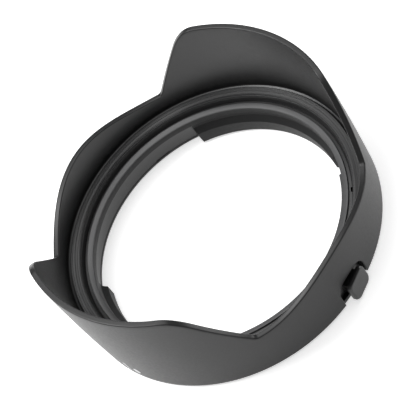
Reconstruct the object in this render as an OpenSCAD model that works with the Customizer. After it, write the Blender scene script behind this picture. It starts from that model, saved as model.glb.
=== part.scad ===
// Petal lens hood with a push-button bayonet lock.
// +Z is the optical axis towards the front, z = 0 is the rear rim, +X passes through the button.
// The two long petals point along +Y and -Y, the two short ones along +X and -X.

/* [Shell] */
// Outer radius of the shell at its rear rim
rear_r = 37.75; // [36:0.25:40]
// How much the wall widens for each millimetre of height
flare = 0.085; // [0:0.005:0.12]
// How much of that widening is lost for each square millimetre
bend = 0.001; // [0:0.0005:0.0015]
// Wall thickness of the petals
wall = 1.4; // [1:0.1:2]
// Height of the rear edge of the shell above the rear rim of the mount ring
rear_gap = 0.3; // [0.2:0.1:0.5]

/* [Petals] */
// Height of the two long petals
long_h = 31.2; // [26:0.1:34]
// Height of the two short petals
short_h = 17.7; // [15:0.1:20]
// Height of the four notches between the petals
notch_h = 13.5; // [11:0.1:15]
// Angle from the middle of a short petal to a notch
notch_at = 38; // [32:0.5:42]
// Rise of a long petal's flank for each degree
flank_rise = 0.94; // [0.7:0.01:1.2]
// Height over which the shoulders of the long petals are rounded
shoulder_round = 5; // [2:0.5:7]

/* [Mount ring] */
// Inner radius of the rear bore
bore_r = 32.5; // [32:0.25:33]
// Inner radius of the front lip
lip_r = 31.1; // [30.8:0.1:31.5]
// Height of the front lip
lip_h = 8.15; // [7.8:0.05:8.4]
// Inner radius between the two bayonet lugs
lug_r = 29.9; // [29.5:0.1:30.3]
// Angle from the button to the start of a lug
lug_start = 57; // [55:1:62]
// Angle that the first lug covers
lug_sweep = 81; // [70:1:84]
// Angle that the second lug covers
second_sweep = 77; // [70:1:84]

/* [Lock] */
// Angle from the button to the pivot pin of the latch lever
pivot_at = 20; // [19:0.5:21]
// Angle from the button to the latch tooth
tooth_at = 35; // [34:0.5:36]
// Radius of the pivot pin
pin_r = 0.5; // [0.4:0.05:0.5]
// Radial clearance of the lever on its pin
pin_play = 0.05; // [0.02:0.01:0.08]

/* [Hidden] */
$fn = 96;
eps = 0.01;

shell_in = 36.6;        // inner radius of the shell around the lock's pocket
root_lip = 36.2;        // inner radius of the lip that holds the light trap ring
root_z = 8.9;           // top of that lip, the floor of the crevice at the root of the petals
root_lip_z = 8.3;       // underside of that lip
root_fillet = 0.3;      // size of the corner at the root of the petals
seat_z = 1.45;          // top of the rear seat for the mount ring's flange
flange_r = 37.0;        // outer radius of the mount ring's rear flange
flange_h = 1.3;         // thickness of that flange
ring_out = 33.3;        // outer radius of the mount ring's wall
groove_r = 32.45;       // outer radius of the front lip
groove_z = 7.7;         // floor of the groove outside the lip
lip_under = 6.25;       // underside of the front lip
lead_in = 1.0;          // length of the slope at each end of a lug
boss_r = 30.6;          // inner radius of the lip beside the button
boss_from = -5;         // angle at which that boss starts
boss_sweep = 49;        // angle that it covers
trap_z = 5.7;           // underside of the light trap ring
trap_top = 9.5;         // highest edge of the light trap ring
arch_w = 9.4;           // width of the button's opening
arch_h = 7.3;           // height of the button's opening
arch_r = 3;             // corner radius of the button's opening
pad_w = 6.8;            // width of the button's pad
pad_lo = 0.35;          // bottom of the pad
pad_hi = 6.4;           // top of the pad
pad_r = 39.5;           // outer radius of the pad's curved face
pad_back = 38.4;        // back of the pad
pad_corner = 1.7;       // corner radius of the pad
pad_turn = 8;           // angle by which the pad's face is slanted, further out on the -Y side
pad_side = 0.3;         // sideways offset of the pad
lock_z = 3.5;           // height of the lock's centre plane
lock_half = 1.9;        // half height of the lock's moving parts
pivot_rad = 34.5;       // distance of the pivot pin from the optical axis

function wall_r(z) = rear_r + flare * z - bend * z * z;
function inner_r(z) = wall_r(z) - wall;
function smooth_min(a, b, k) = min(a, b) - pow(max(k - abs(a - b), 0), 2) / (4 * k);
function smooth_max(a, b, k) = -smooth_min(-a, -b, k);
function short_rim(t) = notch_h + (short_h - notch_h) * (0.5 + 0.5 * cos(180 * min(t / notch_at, 1)));
function flank(t) = notch_h + flank_rise * (t - notch_at);
function rim_h(t) = smooth_min(smooth_max(short_rim(t), flank(t), 1), long_h + eps, shoulder_round);

module ring_sector(from, sweep) {
    rotate([0, 0, from]) rotate_extrude(angle = sweep) children();
}

// Radial block: u along the radius, v along the tangent, centred on the angle
module radial_block(at, r0, r1, width, z0, z1) {
    rotate([0, 0, at]) translate([r0, -width / 2, z0]) cube([r1 - r0, width, z1 - z0]);
}

module radial_cylinder(at, r0, r1, radius, z) {
    rotate([0, 0, at]) translate([r0, 0, z]) rotate([0, 90, 0]) cylinder(r = radius, h = r1 - r0);
}

// Coil spring along a radius, one closed ring for each turn and a strip that joins them
module radial_spring(at, r0, r1, coil_r, wire_r, turns) {
    pitch = (r1 - r0 - 2 * wire_r) / (turns - 1);
    rotate([0, 0, at]) translate([r0 + wire_r, 0, lock_z]) rotate([0, 90, 0]) {
        for (i = [0 : turns - 1])
            translate([0, 0, i * pitch])
                rotate_extrude($fn = 32) translate([coil_r, 0]) circle(r = wire_r, $fn = 16);
        translate([coil_r - wire_r * 0.6, -wire_r * 0.6, 0])
            cube([wire_r * 1.2, wire_r * 1.2, (turns - 1) * pitch]);
    }
}

// Cross-section of the shell at the height of the long petals
module shell_profile() {
    steps = 8;
    edge = 0.3;
    rim = long_h - edge;
    outer = [for (i = [0 : steps]) let (z = 0.75 + (rim - 0.75) * i / steps) [wall_r(z), z]];
    inner_lo = root_z + root_fillet;
    inner = [for (i = [0 : steps]) let (z = rim - (rim - inner_lo) * i / steps) [inner_r(z), z]];
    polygon(concat(
        [[flange_r + 0.05, rear_gap], [wall_r(0) - 0.45, rear_gap]],
        outer,
        [[wall_r(long_h) - edge, long_h], [inner_r(long_h) + edge, long_h]],
        inner,
        [[inner_r(root_z) - root_fillet, root_z], [root_lip, root_z], [root_lip, root_lip_z],
         [shell_in, root_lip_z], [shell_in, seat_z], [flange_r + 0.05, seat_z]]));
}

// Everything above the rim of half a short petal and one flank of a long petal
module petal_gap() {
    aim = 30;
    before = -3;
    reach = 64;
    line = [for (t = [before : 1.5 : reach]) [38.2 * sin(t - aim), rim_h(abs(t))]];
    above = [[38.2 * sin(reach - aim), 40], [38.2 * sin(before - aim), 40]];
    rotate([0, 0, aim]) rotate([90, 0, 90]) translate([0, 0, 20])
        linear_extrude(30) polygon(concat(line, above));
}

module arch() {
    translate([30, 0, 0]) rotate([90, 0, 90]) linear_extrude(12) {
        translate([-arch_w / 2, -1]) square([arch_w, arch_h - arch_r + 1]);
        translate([-arch_w / 2 + arch_r, 0]) square([arch_w - 2 * arch_r, arch_h]);
        for (side = [-1, 1])
            translate([side * (arch_w / 2 - arch_r), arch_h - arch_r]) circle(r = arch_r);
    }
}

module petal_shell() {
    color([0.16, 0.16, 0.165]) difference() {
        rotate_extrude($fn = 180) shell_profile();
        for (mx = [0, 1], my = [0, 1]) mirror([mx, 0, 0]) mirror([0, my, 0]) petal_gap();
        arch();
    }
}

module lug_profile() {
    top_r = lip_r + 0.03;
    polygon([[bore_r + 0.1, 0.35], [lug_r + 0.35, 0.35], [lug_r, 0.7], [lug_r, 4.1],
             [top_r, 5.3], [top_r, lip_under + 0.1], [bore_r + 0.1, lip_under + 0.1]]);
}

// A lug whose two ends slope from the bore to its inner face
module lug(from, sweep) {
    slope = atan2(lead_in, bore_r - lug_r);
    difference() {
        ring_sector(from, sweep) lug_profile();
        for (end = [0, 1])
            rotate([0, 0, from + end * sweep]) mirror([0, 1 - end, 0]) translate([bore_r + 0.05, 0, -1])
                rotate([0, 0, 180 + slope]) translate([-2, -6, 0]) cube([8, 6, 12]);
    }
}

module bayonet_ring() {
    color([0.13, 0.13, 0.135]) {
        difference() {
            union() {
                rotate_extrude($fn = 180) polygon([
                    [bore_r + 0.3, 0], [flange_r - 0.4, 0], [flange_r, 0.4], [flange_r, flange_h],
                    [ring_out, flange_h], [ring_out, groove_z], [groove_r, groove_z],
                    [groove_r, lip_h], [lip_r + 0.15, lip_h], [lip_r, lip_h - 0.15],
                    [lip_r, lip_under], [bore_r, lip_under], [bore_r, 0.3]]);
                lug(lug_start, lug_sweep);
                lug(-lug_start - second_sweep, second_sweep);
                // Boss of the lip beside the button
                ring_sector(boss_from, boss_sweep) polygon([
                    [boss_r, lip_under + 0.1], [lip_r + 0.1, lip_under + 0.1],
                    [lip_r + 0.1, lip_h - 0.25], [boss_r + 0.15, lip_h - 0.25], [boss_r, lip_h - 0.4]]);
                // Stop bump beside the lug-free side opposite the button
                ring_sector(151.5, 7) polygon([[bore_r + 0.1, 0.25], [bore_r - 0.2, 0.6],
                                               [bore_r - 0.2, 1], [bore_r + 0.1, 1.4]]);
                // Post that centres the button's spring
                radial_cylinder(0, ring_out - 0.3, ring_out + 0.8, 0.6, lock_z);
            }
            // Window for the latch tooth, and the small moulding slot above it
            radial_block(tooth_at, 31.5, 35, 4.4, 1.5, 5.5);
            radial_block(tooth_at, ring_out - 0.45, ring_out + 1, 1.3, 5, groove_z + 1);
            rotate([0, 0, pivot_at]) translate([pivot_rad, 0, 0.6]) cylinder(r = pin_r, h = 2);
        }
    }
}

module light_trap_ring() {
    color([0.12, 0.12, 0.125]) difference() {
        rotate_extrude($fn = 180) polygon([
            [ring_out + 0.05, trap_z], [shell_in - 0.05, trap_z], [shell_in - 0.05, root_lip_z - 0.05],
            [root_lip - 0.05, root_lip_z - 0.05], [root_lip - 0.05, trap_top], [35.1, trap_top - 0.1],
            [35.1, 9.25], [34.1, 9.12], [34.0, 9.05], [33.85, 8.9], [ring_out + 0.1, 7.9],
            [ring_out + 0.05, 7.8]]);
        rotate([0, 0, pivot_at]) translate([pivot_rad, 0, trap_z - 1]) cylinder(r = pin_r, h = 1.9);
    }
}

module release_button() {
    ear_w = 5.6;
    ear_in = 35.3;
    ear_out = 36.0;
    pad_mid = (pad_lo + pad_hi) / 2;
    color([0.19, 0.19, 0.195]) difference() {
        union() {
            // Pad with a curved outer face
            translate([pad_back + 0.7, pad_side, 0]) rotate([0, 0, pad_turn])
                translate([-pad_back - 0.7, 0, 0]) intersection() {
                translate([pad_back, 0, pad_mid]) rotate([90, 0, 90]) linear_extrude(3) {
                    square([pad_w - 2 * pad_corner, pad_hi - pad_lo], center = true);
                    square([pad_w, pad_hi - pad_lo - 2 * pad_corner], center = true);
                    for (sx = [-1, 1], sy = [-1, 1])
                        translate([sx * (pad_w / 2 - pad_corner), sy * ((pad_hi - pad_lo) / 2 - pad_corner)])
                            circle(r = pad_corner);
                }
                cylinder(r = pad_r, h = 10);
            }
            // Stem through the opening
            translate([ear_in, -2.2, lock_z - lock_half]) cube([pad_back - ear_in + 0.5, 4.4, 2 * lock_half]);
            // Ears behind the shell that keep the button in
            translate([ear_in, -ear_w, lock_z - lock_half])
                cube([ear_out - ear_in, 2 * ear_w, 2 * lock_half]);
        }
        radial_cylinder(0, ear_in - 1, 36.6, 1.35, lock_z);
    }
}

module arm_section(r0, r1, z0, z1) {
    polygon([[r0, z0], [r1, z0], [r1, z1], [r0, z1]]);
}

module latch_lever() {
    z0 = lock_z - lock_half + 0.1;
    z1 = lock_z + lock_half - 0.1;
    thin = 0.15;
    tail_at = 8.3;
    color([0.24, 0.24, 0.245]) difference() {
        union() {
            rotate([0, 0, pivot_at]) translate([pivot_rad, 0, z0]) cylinder(r = 1.1, h = z1 - z0);
            // Tail that the button's ear pushes
            ring_sector(tail_at, pivot_at - tail_at - 0.4) arm_section(34.5, 35.3, z0 + thin, z1 - thin);
            rotate([0, 0, tail_at]) translate([35.15, 0, z0]) cylinder(r = 0.45, h = z1 - z0);
            // Arm and tooth
            ring_sector(pivot_at + 0.3, 18.2) arm_section(33.6, 34.6, z0 + thin, z1 - thin);
            radial_block(tooth_at, 31.6, 34, 3.2, z0 + 2 * thin, z1 - 2 * thin);
        }
        rotate([0, 0, pivot_at]) translate([pivot_rad, 0, 0]) cylinder(r = pin_r + pin_play, h = 8);
        radial_cylinder(tooth_at, 34.2, 37, 1.3, lock_z);
    }
}

module lever_pin() {
    color("silver") rotate([0, 0, pivot_at]) translate([pivot_rad, 0, 0.6]) cylinder(r = pin_r, h = 5.9);
}

module button_spring() {
    color("silver") radial_spring(0, ring_out + 0.02, 36.58, 0.95, 0.14, 6);
}

module latch_spring() {
    color("silver") radial_spring(tooth_at, 34.22, shell_in - 0.05, 0.9, 0.12, 4);
}

// Plain white index, a bar and a dot, printed beside the rear edge of one long petal
module index_mark() {
    print = 0.05;
    low = 1.9;
    high = 5.1;
    color("white") intersection() {
        rotate_extrude($fn = 180) polygon([[wall_r(low) + 0.01, low], [wall_r(low) + print, low],
                                           [wall_r(high) + print, high], [wall_r(high) + 0.01, high]]);
        rotate([0, 0, -92]) translate([30, 0, (low + high) / 2]) rotate([90, 0, 90]) linear_extrude(12) {
            translate([-2, 0]) square([0.8, 4], center = true);
            translate([1, 0]) circle(r = 1);
        }
    }
}

petal_shell();
bayonet_ring();
light_trap_ring();
release_button();
latch_lever();
lever_pin();
button_spring();
latch_spring();
index_mark();
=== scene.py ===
"""Petal lens hood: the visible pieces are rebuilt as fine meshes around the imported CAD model.
Pieces are shaped in millimetres, and settle() turns them into metres and hands them to their body."""

import math

import bmesh
import bpy
import numpy as np
from mathutils import Matrix, Vector


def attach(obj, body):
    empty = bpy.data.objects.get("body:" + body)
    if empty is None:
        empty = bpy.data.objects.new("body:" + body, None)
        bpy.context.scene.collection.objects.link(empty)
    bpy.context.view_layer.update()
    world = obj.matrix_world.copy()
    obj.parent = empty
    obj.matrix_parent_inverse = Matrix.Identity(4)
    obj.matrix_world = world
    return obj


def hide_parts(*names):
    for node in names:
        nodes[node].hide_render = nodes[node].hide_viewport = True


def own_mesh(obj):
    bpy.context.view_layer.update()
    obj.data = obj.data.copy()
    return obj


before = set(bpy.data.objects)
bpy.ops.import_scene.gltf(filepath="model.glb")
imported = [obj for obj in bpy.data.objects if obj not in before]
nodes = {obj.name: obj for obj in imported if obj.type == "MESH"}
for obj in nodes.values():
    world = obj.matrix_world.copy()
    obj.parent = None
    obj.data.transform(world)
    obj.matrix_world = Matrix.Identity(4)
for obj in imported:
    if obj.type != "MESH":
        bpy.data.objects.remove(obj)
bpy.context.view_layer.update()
MM = 0.001

# ---------------------------------------------------------------- dimensions, in mm

REAR_R, FLARE, BEND = 37.75, 0.085, 0.001
LONG_H, SHORT_H, NOTCH_H = 31.2, 17.7, 13.5
NOTCH_AT, FLANK_RISE, SHOULDER_ROUND = 38, 0.94, 5
WALL = 1.4
ROOT_Z = 8.9
ROOT_LIP_Z = 8.3
ROOT_FILLET = 0.3
ROOT_LIP = 36.2
SHELL_IN = 36.6
FLANGE_R = 37.0
SEAT_Z = 1.45
REAR_GAP = 0.3
BORE_R = 32.5
LIP_R = 31.1
LIP_UNDER = 6.25
GROOVE_R, GROOVE_Z = 32.45, 7.7
BOSS_R = 30.6
BOSS_START, BOSS_SWEEP = -5, 49
LUG_R = 29.9
LUG_START, LUG_SWEEP, SECOND_SWEEP = 57, 81, 77
LEAD_IN = 1.0
RING_OUT = 33.3
TRAP_LOW, TRAP_TOP = 5.7, 9.5
LOCK_Z = 3.5
PIVOT_AT, TOOTH_AT = 20, 35
COLUMNS = 1080
# How much the wall leans outwards for each mm of height, on average
WALL_LEAN = 0.054
# Clearance between pieces that are drawn apart
PLAY = 0.05


def wall_r(z):
    """Outer radius of the shell at a height."""
    return REAR_R + FLARE * z - BEND * z * z


def smooth_min(a, b, k):
    """The lesser of two heights, blended over a span k where they meet."""
    return np.minimum(a, b) - np.maximum(k - abs(a - b), 0) ** 2 / (4 * k)


def rim_height(phi):
    """Height of the rim at an angle in degrees. The short petals are at 0 and 180."""
    t = abs((phi + 90) % 180 - 90)
    short = NOTCH_H + (SHORT_H - NOTCH_H) * (0.5 + 0.5 * np.cos(math.pi * np.minimum(t / NOTCH_AT, 1)))
    flank = NOTCH_H + FLANK_RISE * (t - NOTCH_AT)
    return smooth_min(-smooth_min(-short, -flank, 1), LONG_H, SHOULDER_ROUND)


# ---------------------------------------------------------------- mesh helpers


def make_object(name, vertices, faces, sharp=35):
    """A new object from points in mm and faces, with normals outwards and smooth shading up to an angle."""
    mesh = bpy.data.meshes.new(name)
    mesh.from_pydata(vertices, [], faces)
    finish_mesh(mesh, sharp)
    obj = bpy.data.objects.new(name, mesh)
    bpy.context.scene.collection.objects.link(obj)
    return obj


def finish_mesh(mesh, sharp=35):
    bm = bmesh.new()
    bm.from_mesh(mesh)
    bmesh.ops.recalc_face_normals(bm, faces=bm.faces)
    if bm.calc_volume(signed=True) < 0:
        bmesh.ops.reverse_faces(bm, faces=bm.faces)
    bm.to_mesh(mesh)
    bm.free()
    mesh.polygons.foreach_set("use_smooth", [True] * len(mesh.polygons))
    mesh.set_sharp_from_angle(angle=math.radians(sharp))
    mesh.update()


def loop_grid(rows, closed):
    """Faces of a grid of rows of equal length, each row closed on itself. Open grids get end caps."""
    count, size = len(rows), len(rows[0])
    faces = []
    for i in range(count if closed else count - 1):
        a, b = i * size, (i + 1) % count * size
        for j in range(size):
            k = (j + 1) % size
            faces.append((a + j, a + k, b + k, b + j))
    if not closed:
        faces.append(tuple(range(size)))
        faces.append(tuple(range((count - 1) * size, count * size)))
    return faces


def tube_of_rows(name, rows, closed=True, sharp=35):
    return make_object(name, [p for row in rows for p in row], loop_grid(rows, closed), sharp)


def polar(r, phi, z):
    """A point from its radius, its angle in degrees and its height."""
    a = math.radians(phi)
    return (r * math.cos(a), r * math.sin(a), z)


def fillet(points, steps=4):
    """A closed outline of (x, y, radius) with its corners rounded."""
    outline = []
    for i, (x, y, radius) in enumerate(points):
        here = Vector((x, y))
        before = (Vector(points[i - 1][:2]) - here)
        after = (Vector(points[(i + 1) % len(points)][:2]) - here)
        if radius <= 0:
            outline.append((x, y))
            continue
        half = before.angle(after) / 2
        reach = min(radius / math.tan(half), 0.49 * before.length, 0.49 * after.length)
        radius = reach * math.tan(half)
        centre = here + (before.normalized() + after.normalized()).normalized() * (radius / math.sin(half))
        start, end = here + before.normalized() * reach - centre, here + after.normalized() * reach - centre
        sweep = start.angle_signed(end)
        for k in range(steps + 1):
            a = -sweep * k / steps
            outline.append((centre.x + start.x * math.cos(a) - start.y * math.sin(a),
                            centre.y + start.x * math.sin(a) + start.y * math.cos(a)))
    return outline


def revolve(name, outline, columns=720):
    """A full turn of a closed outline of (radius, height)."""
    rows = [[polar(r, 360 * i / columns, z) for r, z in outline] for i in range(columns)]
    return tube_of_rows(name, rows, True)


def sector(name, outline, start, sweep, step=0.6, end_round=0.3, lead_in=0):
    """A part turn of an outline, whose ends are rounded by drawing the section in. With a lead-in its
    inner side also slopes outwards to the bore over that length at each end."""
    centre = Vector((sum(r for r, z in outline) / len(outline), sum(z for r, z in outline) / len(outline)))
    turn = math.degrees(1 / centre.x)
    insets = [(end_round * (1 - math.sin(a)), end_round * (1 - math.cos(a)))
              for a in (math.pi / 2 * k / 4 for k in range(5))]
    marks = [(start + depth * turn, pull) for pull, depth in insets]
    lead_turn = lead_in * turn
    middle = max(2, int(sweep / step))
    low, high = marks[-1][0], 2 * start + sweep - marks[-1][0]
    marks += [(low + (high - low) * k / middle, 0) for k in range(1, middle)]
    marks += [(2 * start + sweep - phi, pull) for phi, pull in reversed(marks[:5])]
    rows = []
    for phi, pull in marks:
        row = []
        from_end = min(phi - start, start + sweep - phi)
        least_r = BORE_R + 0.02 - (BORE_R - LUG_R) * from_end / lead_turn if lead_in else 0
        for r, z in outline:
            away = Vector((r, z)) - centre
            drawn = Vector((r, z)) - away.normalized() * min(pull, away.length * 0.5)
            row.append(polar(max(drawn.x, least_r + 0.002 * (r - LUG_R)), phi, drawn.y))
        rows.append(row)
    return tube_of_rows(name, rows, False)


def block(name, at, r0, r1, width, z0, z1, bevel=0.1):
    """A box along the radius at an angle, with bevelled edges."""
    bm = bmesh.new()
    bmesh.ops.create_cube(bm, size=1)
    bmesh.ops.scale(bm, vec=(r1 - r0, width, z1 - z0), verts=bm.verts)
    bmesh.ops.translate(bm, vec=((r0 + r1) / 2, 0, (z0 + z1) / 2), verts=bm.verts)
    if bevel:
        bmesh.ops.bevel(bm, geom=bm.edges[:], offset=bevel, segments=2, profile=0.5, affect="EDGES")
    bmesh.ops.rotate(bm, cent=(0, 0, 0), matrix=Matrix.Rotation(math.radians(at), 3, "Z"), verts=bm.verts)
    points = [tuple(v.co) for v in bm.verts]
    faces = [tuple(v.index for v in f.verts) for f in bm.faces]
    bm.free()
    return make_object(name, points, faces)


def pin(name, at, r0, r1, radius, z, upright=False, bevel=0.08):
    """A round pin along the radius at an angle, or upright at radius r0 from height z to r1."""
    sides = 32
    length = r1 - z if upright else r1 - r0
    rows = []
    for along, rad in ((0, radius - bevel), (bevel, radius), (length - bevel, radius),
                       (length, radius - bevel)):
        row = []
        for k in range(sides):
            a = 2 * math.pi * k / sides
            u, v = rad * math.cos(a), rad * math.sin(a)
            row.append((r0 + u, v, z + along) if upright else (r0 + along, u, z + v))
        rows.append(row)
    obj = tube_of_rows(name, rows, False)
    obj.data.transform(Matrix.Rotation(math.radians(at), 4, "Z"))
    return obj


def combine(target, tools, operation, sharp=35):
    """Adds the tools to the target or cuts them from it, one after another, and removes them."""
    for tool in tools:
        modifier = target.modifiers.new("combine", "BOOLEAN")
        modifier.operation = operation
        modifier.solver = "MANIFOLD"
        modifier.object = tool
        graph = bpy.context.evaluated_depsgraph_get()
        mesh = bpy.data.meshes.new_from_object(target.evaluated_get(graph))
        target.modifiers.clear()
        target.data = mesh
        bpy.data.objects.remove(tool)
    bm = bmesh.new()
    bm.from_mesh(target.data)
    bmesh.ops.remove_doubles(bm, verts=bm.verts, dist=2e-4)
    bmesh.ops.dissolve_degenerate(bm, edges=bm.edges, dist=2e-4)
    bm.to_mesh(target.data)
    bm.free()
    finish_mesh(target.data, sharp)
    return target


# ---------------------------------------------------------------- materials


def node_of(tree, kind, **values):
    node = tree.nodes.new(kind)
    for key, value in values.items():
        if key in node.inputs:
            node.inputs[key].default_value = value
        else:
            setattr(node, key, value)
    return node


def noise(tree, place, scale, detail=3.0, roughness=0.55):
    node = node_of(tree, "ShaderNodeTexNoise", Scale=scale, Detail=detail, Roughness=roughness)
    tree.links.new(place, node.inputs["Vector"])
    return node.outputs["Fac"]


def ramp(tree, source, low, high):
    """Maps the middle of a noise texture to a range of colours or numbers."""
    node = node_of(tree, "ShaderNodeValToRGB")
    for element, place, value in zip(node.color_ramp.elements, (0.3, 0.7), (low, high)):
        element.position = place
        element.color = (*value, 1) if hasattr(value, "__len__") else (value, value, value, 1)
    tree.links.new(source, node.inputs["Fac"])
    return node.outputs["Color"]


def by_place(tree, source, span, stops):
    """A number read from (place, value) stops in mm along a source that runs over a span."""
    unit = node_of(tree, "ShaderNodeMapRange")
    unit.inputs["From Min"].default_value, unit.inputs["From Max"].default_value = (end * MM for end in span)
    tree.links.new(source, unit.inputs["Value"])
    curve = node_of(tree, "ShaderNodeValToRGB")
    elements = curve.color_ramp.elements
    while len(elements) < len(stops):
        elements.new(0.5)
    for element, (place, value) in zip(elements, stops):
        element.position = (place - span[0]) / (span[1] - span[0])
        element.color = (value, value, value, 1)
    tree.links.new(unit.outputs["Result"], curve.inputs["Fac"])
    return curve.outputs["Color"]


def arith(tree, operation, a, b):
    node = node_of(tree, "ShaderNodeMath", operation=operation)
    for socket, value in zip(node.inputs, (a, b)):
        if isinstance(value, (int, float)):
            socket.default_value = value
        else:
            tree.links.new(value, socket)
    return node.outputs["Value"]


def plastic(name, tone, rough, grain=4200, bump=0.1, specular=0.5):
    """Moulded plastic: a fine sparked grain, slow colour drift and slightly uneven gloss. The tone, the
    roughness and the specular level are numbers, or (measure, stops) with stops in mm of that measure."""
    material = bpy.data.materials.new(name)
    material.use_nodes = True
    tree = material.node_tree
    shader = tree.nodes["Principled BSDF"]
    place = node_of(tree, "ShaderNodeTexCoord").outputs["Object"]
    parts = node_of(tree, "ShaderNodeSeparateXYZ")
    tree.links.new(place, parts.inputs["Vector"])

    def measured(kind):
        """The height, the distance from the optical axis, or that distance freed from the wall's flare."""
        if kind == "height":
            return parts.outputs["Z"]
        squares = [arith(tree, "MULTIPLY", parts.outputs[axis], parts.outputs[axis]) for axis in "XY"]
        radius = arith(tree, "POWER", arith(tree, "ADD", *squares), 0.5)
        if kind == "radius":
            return radius
        return arith(tree, "SUBTRACT", radius, arith(tree, "MULTIPLY", parts.outputs["Z"], WALL_LEAN))

    def feed(socket, value, spread=None):
        if isinstance(value, tuple):
            kind, stops = value
            value = by_place(tree, measured(kind), (stops[0][0] - 1, stops[-1][0] + 1), stops)
        if spread is not None:
            value = arith(tree, "ADD", spread, value)
        if isinstance(value, float):
            socket.default_value = value
        else:
            tree.links.new(value, socket)

    drift = ramp(tree, noise(tree, place, 60, 2), (0.85, 0.85, 0.87), (1.15, 1.15, 1.17))
    tint = node_of(tree, "ShaderNodeVectorMath", operation="SCALE")
    tree.links.new(drift, tint.inputs[0])
    feed(tint.inputs["Scale"], tone)
    tree.links.new(tint.outputs["Vector"], shader.inputs["Base Color"])
    feed(shader.inputs["Roughness"], rough, ramp(tree, noise(tree, place, grain * 0.4, 4), 0.0, 0.07))
    feed(shader.inputs["Specular IOR Level"], specular)
    relief = node_of(tree, "ShaderNodeBump", Strength=bump, Distance=0.00003)
    tree.links.new(noise(tree, place, grain, 5, 0.6), relief.inputs["Height"])
    tree.links.new(relief.outputs["Normal"], shader.inputs["Normal"])
    return material


def steel(name):
    """Drawn wire and pin steel with fine lines along its length."""
    material = bpy.data.materials.new(name)
    material.use_nodes = True
    tree = material.node_tree
    shader = tree.nodes["Principled BSDF"]
    place = node_of(tree, "ShaderNodeTexCoord").outputs["Object"]
    stretched = node_of(tree, "ShaderNodeMapping", Scale=(1, 1, 0.1))
    tree.links.new(place, stretched.inputs["Vector"])
    lines = noise(tree, stretched.outputs["Vector"], 9000, 3)
    tree.links.new(ramp(tree, lines, (0.5, 0.5, 0.51), (0.66, 0.66, 0.67)), shader.inputs["Base Color"])
    tree.links.new(ramp(tree, lines, 0.24, 0.4), shader.inputs["Roughness"])
    shader.inputs["Metallic"].default_value = 1
    return material


def settle(obj, body, material, slot_name, *replaced):
    """Turns a finished piece into metres, gives it its material, and hands it to its body."""
    obj.data.transform(Matrix.Scale(MM, 4))
    obj.data.materials.clear()
    obj.data.materials.append(material)
    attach(obj, body)
    if replaced:
        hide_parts(*replaced)


# ---------------------------------------------------------------- shell


def shell_rows():
    """The shell's closed section at each column. The rows lean so that they meet the rim at right angles."""
    rows = []
    outer_rows, inner_rows, base_out = 26, 24, 0.8
    round_out, round_in, arc = 0.3, 0.25, 5
    root_r = float(wall_r(ROOT_Z)) - WALL - ROOT_FILLET
    foot = [(root_r + ROOT_FILLET * math.cos(a), ROOT_Z + ROOT_FILLET * (1 - math.sin(a)))
            for a in (math.pi / 2 * k / 4 for k in range(1, 5))]
    seat_r = FLANGE_R + PLAY
    foot += fillet([(ROOT_LIP, ROOT_Z, 0.05), (ROOT_LIP, ROOT_LIP_Z, 0.05), (SHELL_IN, ROOT_LIP_Z, 0),
                    (SHELL_IN, SEAT_Z, 0), (seat_r, SEAT_Z, 0)], 3)
    # The last two points only steer the fillet before them, and are dropped
    rear = fillet([(seat_r, REAR_GAP, 0.06), (wall_r(0) - 0.4, REAR_GAP, 0.15),
                   (wall_r(base_out), base_out, 0.1), (wall_r(3), 3, 0), (FLANGE_R, 3, 0)], 3)[:-2]
    rim_section = []
    fall = 0.05
    for k in range(arc + 1):
        a = math.pi / 2 * k / arc
        rim_section.append((fall + round_out * (1 - math.sin(a)), round_out * (1 - math.cos(a))))
    for k in range(1, 4):
        rim_section.append((fall * (1 - k / 4), round_out + (WALL - round_out - round_in) * k / 4))
    for k in range(arc + 1):
        a = math.pi / 2 * k / arc
        rim_section.append((round_in * (1 - math.cos(a)), WALL - round_in * (1 - math.sin(a))))
    mean_r, root_top = 38.4, ROOT_Z + ROOT_FILLET
    for i in range(COLUMNS):
        phi = 360 * i / COLUMNS
        h = float(rim_height(phi))
        step = 0.05
        slope = float(rim_height(phi + step) - rim_height(phi - step)) / math.radians(2 * step) / mean_r
        lean = math.hypot(1, slope)

        def on_rim(depth, inwards):
            z = h - depth / lean
            turn = math.degrees(depth * slope / lean / mean_r)
            return (float(wall_r(z)) - inwards, phi + turn, z)

        row = [polar(r, phi, z) for r, z in rear]
        _, top_phi, top_z = on_rim(*rim_section[0])
        low_z = rear[-1][1]
        for k in range(1, outer_rows):
            s = k / outer_rows
            z = low_z + (top_z - low_z) * s
            row.append(polar(float(wall_r(z)), phi + (top_phi - phi) * s ** 3, z))
        row += [polar(*on_rim(*point)) for point in rim_section]
        _, in_phi, in_z = on_rim(*rim_section[-1])
        for k in range(1, inner_rows + 1):
            s = 1 - k / inner_rows
            z = root_top + (in_z - root_top) * s
            row.append(polar(float(wall_r(z)) - WALL, phi + (in_phi - phi) * s ** 3, z))
        row += [polar(r, phi, z) for r, z in foot]
        rows.append(row)
    return rows


def arch_cutter():
    """The button's opening as a solid that widens at the shell's outer face, which rounds the edge."""
    half, top, corner = 4.7, 7.3, 3.0
    # Depth from the shell's outer face, and how much the opening grows there
    layers = [(-2.6, 0), (-0.3, 0), (-0.2, 0.02), (-0.12, 0.06), (-0.06, 0.12), (-0.02, 0.2),
              (0.02, 0.3), (1.6, 3.2)]
    rows = []
    for depth, grow in layers:
        outline = [(half + grow, -1.5), (half + grow, 1), (half + grow, 2.8)]
        for k in range(13):
            a = math.pi / 2 * k / 12
            outline.append((half - corner + (corner + grow) * math.cos(a),
                            top - corner + (corner + grow) * math.sin(a)))
        outline += [(-s, z) for s, z in reversed(outline)]
        row = []
        for s, z in outline:
            r = float(wall_r(max(z, 0))) + depth
            row.append((math.sqrt(r * r - s * s), s, z))
        rows.append(row)
    return tube_of_rows("arch_cutter", rows, False)


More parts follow.
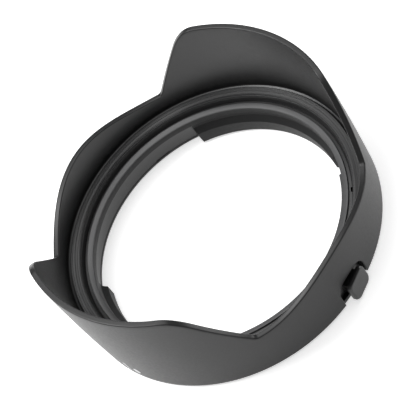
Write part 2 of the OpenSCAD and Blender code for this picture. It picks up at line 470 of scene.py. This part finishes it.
shell = tube_of_rows("shell_body", shell_rows(), True, 40)
combine(shell, [arch_cutter()], "DIFFERENCE", 40)
# The outer wall is less glossy than the rims and the petals' insides
shell_black = plastic("shell_black", 0.017, ("wall", ((37.55, 0.29), (37.7, 0.34))), 4200, 0.1,
                      ("wall", ((37.55, 0.46), (37.7, 0.28))))
settle(shell, "hood", shell_black, "shell_plastic", "petal_shell")

# ---------------------------------------------------------------- mount ring

ring_outline = fillet([
    (BORE_R + 0.3, 0, 0.05), (FLANGE_R - 0.4, 0, 0.05), (FLANGE_R, 0.4, 0.08), (FLANGE_R, 1.3, 0.08),
    (RING_OUT, 1.3, 0.1), (RING_OUT, GROOVE_Z, 0.08), (GROOVE_R, GROOVE_Z, 0.1), (GROOVE_R, 8.3, 0.1),
    (LIP_R + 0.12, 7.98, 0.06), (LIP_R, 7.86, 0.06), (LIP_R, LIP_UNDER, 0.08), (BORE_R, LIP_UNDER, 0.1),
    (BORE_R, 1.25, 0), (BORE_R + 0.12, 1.1, 0.04),
    (BORE_R + 0.12, 0.9, 0.04), (BORE_R, 0.75, 0), (BORE_R, 0.3, 0.05)], 3)
lug_outline = fillet([
    (RING_OUT - 0.15, 0.45, 0), (LUG_R + 0.35, 0.35, 0.1), (LUG_R, 0.75, 0.1), (LUG_R, 4.1, 0.3),
    (LIP_R + 0.04, 5.35, 0.2), (LIP_R + 0.04, 7.2, 0), (RING_OUT - 0.15, 7.2, 0)], 4)
boss_outline = fillet([
    (BOSS_R, LIP_UNDER + PLAY, 0.08), (LIP_R + 0.3, LIP_UNDER + PLAY, 0), (LIP_R + 0.3, 7.9, 0),
    (BOSS_R + 0.15, 7.9, 0.1), (BOSS_R, 7.7, 0.1)], 3)
bump_outline = [(BORE_R + 0.2, 0.3), (BORE_R - 0.2, 0.6), (BORE_R - 0.2, 1), (BORE_R + 0.2, 1.4)]

ring = revolve("mount_ring", ring_outline)
combine(ring, [sector("lug_a", lug_outline, LUG_START, LUG_SWEEP, 0.4, 0.15, LEAD_IN),
               sector("lug_b", lug_outline, -LUG_START - SECOND_SWEEP, SECOND_SWEEP, 0.4, 0.15, LEAD_IN),
               sector("boss", boss_outline, BOSS_START, BOSS_SWEEP, 0.5, 0.15),
               sector("bump", bump_outline, 151.5, 7, 0.5, 0.1),
               pin("post", 0, RING_OUT - 0.3, RING_OUT + 0.8, 0.6, LOCK_Z)], "UNION")
combine(ring, [block("window", TOOTH_AT, 31.6, 35, 4.4, 1.5, 5.5, 0.15),
               block("slot", TOOTH_AT, RING_OUT - 0.45, RING_OUT + 1, 1.3, 5.8, 7.8, 0.05)], "DIFFERENCE")
# The lip's land gets a lighter tone as a painted highlight; the lug faces are duller and the bore is
# glossier than the rest
ring_black_painted_highlight = plastic("ring_black_painted_highlight", ("height", ((7.75, 0.014), (7.9, 0.08))),
                     ("radius", ((31.2, 0.5), (31.35, 0.28))), 3600, 0.1,
                     ("radius", ((31.2, 0.22), (31.35, 0.5), (32.35, 0.5), (32.45, 0.7), (33.0, 0.7),
                                 (33.2, 0.5))))
settle(ring, "hood", ring_black_painted_highlight, "ring_plastic", "bayonet_ring")

# ---------------------------------------------------------------- light trap ring

trap_outline = fillet([
    (RING_OUT + PLAY, TRAP_LOW, 0.05), (SHELL_IN - PLAY, TRAP_LOW, 0.05),
    (SHELL_IN - PLAY, ROOT_LIP_Z - PLAY, 0.03), (ROOT_LIP - PLAY, ROOT_LIP_Z - PLAY, 0.03),
    (ROOT_LIP - PLAY, TRAP_TOP, 0.06), (35.75, 9.45, 0.03), (35.7, 9.37, 0.03),
    (35.2, 9.32, 0.03), (35.1, 9.22, 0.03), (34.6, 9.14, 0.03), (34.55, 9.08, 0.03), (34.2, 9.06, 0.05),
    (33.95, 9.12, 0.1), (33.8, 8.9, 0.1), (RING_OUT + 0.1, 7.9, 0.1), (RING_OUT + PLAY, 7.75, 0.05)], 3)
trap = revolve("trap_ring", trap_outline)
combine(trap, [pin("trap_hole", PIVOT_AT, 34.5, 6.6, 0.5, 5, True, 0.02)], "DIFFERENCE")
settle(trap, "hood", plastic("trap_black", 0.022, 0.28, 3600),
       "trap_plastic", "light_trap_ring")

# ---------------------------------------------------------------- button

PAD_HALF, PAD_LOW, PAD_HIGH, PAD_CORNER = 3.4, 0.35, 6.4, 1.7
PAD_BACK, PAD_FACE = 38.4, 39.5
PAD_TURN, PAD_SIDE = 8, 0.3


def pad_outline(inset, per_corner=10):
    """The pad's outline drawn in by a distance, the same number of points each time."""
    mid = (PAD_LOW + PAD_HIGH) / 2
    half_h = (PAD_HIGH - PAD_LOW) / 2
    points = []
    for k, (sy, sz) in enumerate(((1, 1), (-1, 1), (-1, -1), (1, -1))):
        for j in range(per_corner + 1):
            a = math.pi / 2 * (k + j / per_corner)
            rad = max(PAD_CORNER - inset, 0.02)
            y = sy * (PAD_HALF - max(PAD_CORNER, inset)) + rad * math.cos(a)
            z = sz * (half_h - max(PAD_CORNER, inset)) + rad * math.sin(a)
            points.append((y, mid + z))
    return points


def pad():
    def face_x(y):
        return math.sqrt(PAD_FACE ** 2 - y * y)

    rows = []
    edge = 0.55
    for x in (PAD_BACK, PAD_BACK + 0.2):
        rows.append([(x, y, z) for y, z in pad_outline(0)])
    for k in range(9):
        a = math.pi / 2 * k / 8
        back, inset = edge * (1 - math.sin(a)), edge * (1 - math.cos(a))
        rows.append([(face_x(y) - back, y, z) for y, z in pad_outline(inset)])
    for inset in (0.8, 1.1, 1.5, 1.9, 2.4, 2.9):
        rows.append([(face_x(y), y, z) for y, z in pad_outline(inset)])
    cap = tube_of_rows("button_cap", rows, False)
    middle = Vector((PAD_BACK + 0.7, 0, 0))
    cap.data.transform(Matrix.Translation(middle + Vector((0, PAD_SIDE, 0)))
                       @ Matrix.Rotation(math.radians(PAD_TURN), 4, "Z") @ Matrix.Translation(-middle))
    return cap


button = pad()
combine(button, [block("stem", 0, 35.2, PAD_BACK + 0.5, 4.4, 1.6, 5.4, 0.1),
                 block("ears", 0, 35.3, 36.0, 11.2, 1.6, 5.4, 0.1)], "UNION", 50)
combine(button, [pin("spring_pocket", 0, 34.3, 36.6, 1.35, LOCK_Z)], "DIFFERENCE", 50)
# The pad's upper side gets a darker tone as painted shade, and is duller than its face
button_black_painted_shade = plastic("button_black_painted_shade", ("height", ((6.0, 0.021), (6.3, 0.01))), 0.28, 4600, 0.14,
                       ("height", ((6.0, 0.5), (6.25, 0.15))))
settle(button, "button", button_black_painted_shade, "button_plastic", "release_button")

# ---------------------------------------------------------------- lock


def coil(name, r0, r1, coil_r, wire_r, turns, at):
    """A wound spring along a radius, with closed ends."""
    sides, per_turn = 12, 36
    count = int(turns * per_turn)
    rows = []
    for i in range(count + 1):
        s = i / count
        a = 2 * math.pi * turns * s
        eased = s - 0.07 * math.sin(2 * math.pi * s)
        x = r0 + wire_r + (r1 - r0 - 2 * wire_r) * eased
        row = []
        for k in range(sides):
            b = 2 * math.pi * k / sides
            rad = coil_r + wire_r * math.cos(b)
            row.append((x + wire_r * math.sin(b), rad * math.cos(a), LOCK_Z + rad * math.sin(a)))
        rows.append(row)
    obj = tube_of_rows(name, rows, False)
    obj.data.transform(Matrix.Rotation(math.radians(at), 4, "Z"))
    return obj


wire = steel("spring_wire")
for name, node, joint, ends, sizes, at, anchor_r, keep in (
    ("button_coil", "button_spring", "button_press", (33.34, 36.56), (0.95, 0.14, 6), 0, 33.32, 0.72),
    ("latch_coil", "latch_spring", "latch_turn", (34.24, 36.52), (0.9, 0.12, 4), TOOTH_AT, 36.55, 0.42),
):
    spring = coil(name, *ends, *sizes, at)
    settle(spring, "hood", wire, "steel", node)
    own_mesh(spring)

for node, material in (
    ("latch_lever", plastic("lever_grey", 0.088, 0.34, 2800, 0.08)),
    ("lever_pin", steel("pin_steel")),
):
    nodes[node].material_slots[0].material = material

# ---------------------------------------------------------------- printed index


def print_patch(name, outline, at, z):
    """A thin closed patch of ink on the shell, from an outline of (along, height) about its centre."""
    middle = (sum(p[0] for p in outline) / len(outline), sum(p[1] for p in outline) / len(outline))
    rows = []
    for proud, scale in ((0.005, 1), (0.025, 1), (0.03, 0.97), (0.03, 0.6), (0.03, 0.2)):
        row = []
        for u, v in outline:
            u, v = middle[0] + (u - middle[0]) * scale, middle[1] + (v - middle[1]) * scale
            r = float(wall_r(z + v)) + proud
            row.append(polar(r, at + math.degrees(u / r), z + v))
        rows.append(row)
    return tube_of_rows(name, rows, False)


def dense(points, step=0.25):
    """The same closed outline with points at most a step apart."""
    out = []
    for i, (x, y) in enumerate(points):
        nx, ny = points[(i + 1) % len(points)]
        count = max(1, int(math.hypot(nx - x, ny - y) / step))
        out += [(x + (nx - x) * k / count, y + (ny - y) * k / count) for k in range(count)]
    return out


ink = plastic("white_ink", 0.68, 0.5, 5200, 0.05)
bar = print_patch("index_bar", dense(fillet([(-0.4, -1.95, 0.15), (0.4, -1.95, 0.15), (0.4, 1.95, 0.15),
                                            (-0.4, 1.95, 0.15)])), -95, 3.5)
dot = print_patch("index_dot", [(0.98 * math.cos(math.pi * k / 20), 0.98 * math.sin(math.pi * k / 20))
                                for k in range(40)], -90.5, 3.5)
settle(bar, "hood", ink, "white_print", "index_mark")
settle(dot, "hood", ink, "white_print")

# ---------------------------------------------------------------- stage, light and camera

FLOOR_HALF = 3.0
bm = bmesh.new()
bmesh.ops.create_grid(bm, x_segments=8, y_segments=8, size=FLOOR_HALF)
floor_mesh = bpy.data.meshes.new("floor")
bm.to_mesh(floor_mesh)
bm.free()
floor = bpy.data.objects.new("floor", floor_mesh)
floor.location.z = -0.00005
bpy.context.scene.collection.objects.link(floor)
pale = bpy.data.materials.new("floor_pale")
pale.use_nodes = True
pale_shader = pale.node_tree.nodes["Principled BSDF"]
pale_shader.inputs["Base Color"].default_value = (0.9, 0.9, 0.9, 1)
pale_shader.inputs["Roughness"].default_value = 0.9
pale_shader.inputs["Specular IOR Level"].default_value = 0.1
pale_shader.inputs["Emission Color"].default_value = (1, 1, 1, 1)
pale_shader.inputs["Emission Strength"].default_value = 0.62
floor_mesh.materials.append(pale)

world = bpy.data.worlds.new("studio")
bpy.context.scene.world = world
world.use_nodes = True
world.node_tree.nodes["Background"].inputs["Color"].default_value = (1, 1, 1, 1)
world.node_tree.nodes["Background"].inputs["Strength"].default_value = 0.2


def softbox(name, place, aim, size, power):
    lamp = bpy.data.lights.new(name, "AREA")
    lamp.shape = "RECTANGLE"
    lamp.size, lamp.size_y = size
    lamp.energy = power
    obj = bpy.data.objects.new(name, lamp)
    obj.location = place
    obj.rotation_euler = (Vector(aim) - Vector(place)).to_track_quat("-Z", "Y").to_euler()
    bpy.context.scene.collection.objects.link(obj)


softbox("top_light", (-0.2, 0, 0.75), (0, 0, 0), (0.9, 0.9), 5)
softbox("left_light", (-0.5, -0.4, 0.75), (0, 0, 0), (0.4, 0.4), 4.5)
softbox("back_light", (0.15, 1.0, 0.12), (0, 0, 0.02), (0.8, 0.35), 3.0)

camera_data = bpy.data.cameras.new("camera")
camera_data.sensor_width = 36
camera_data.lens = 259.6
camera_data.shift_x, camera_data.shift_y = -0.0013, -0.0006
camera_data.clip_start = 0.01
camera = bpy.data.objects.new("camera", camera_data)
right = Vector((0.75787, 0.51133, -0.40520))
up = Vector((-0.27764, 0.81480, 0.50893))
back = right.cross(up)
camera.matrix_world = (Matrix.Translation((0.4013, -0.1847, 0.5298))
                       @ Matrix((right, up, back)).transposed().to_4x4())
bpy.context.scene.collection.objects.link(camera)
bpy.context.scene.camera = camera
bpy.context.scene.view_settings.view_transform = "Standard"
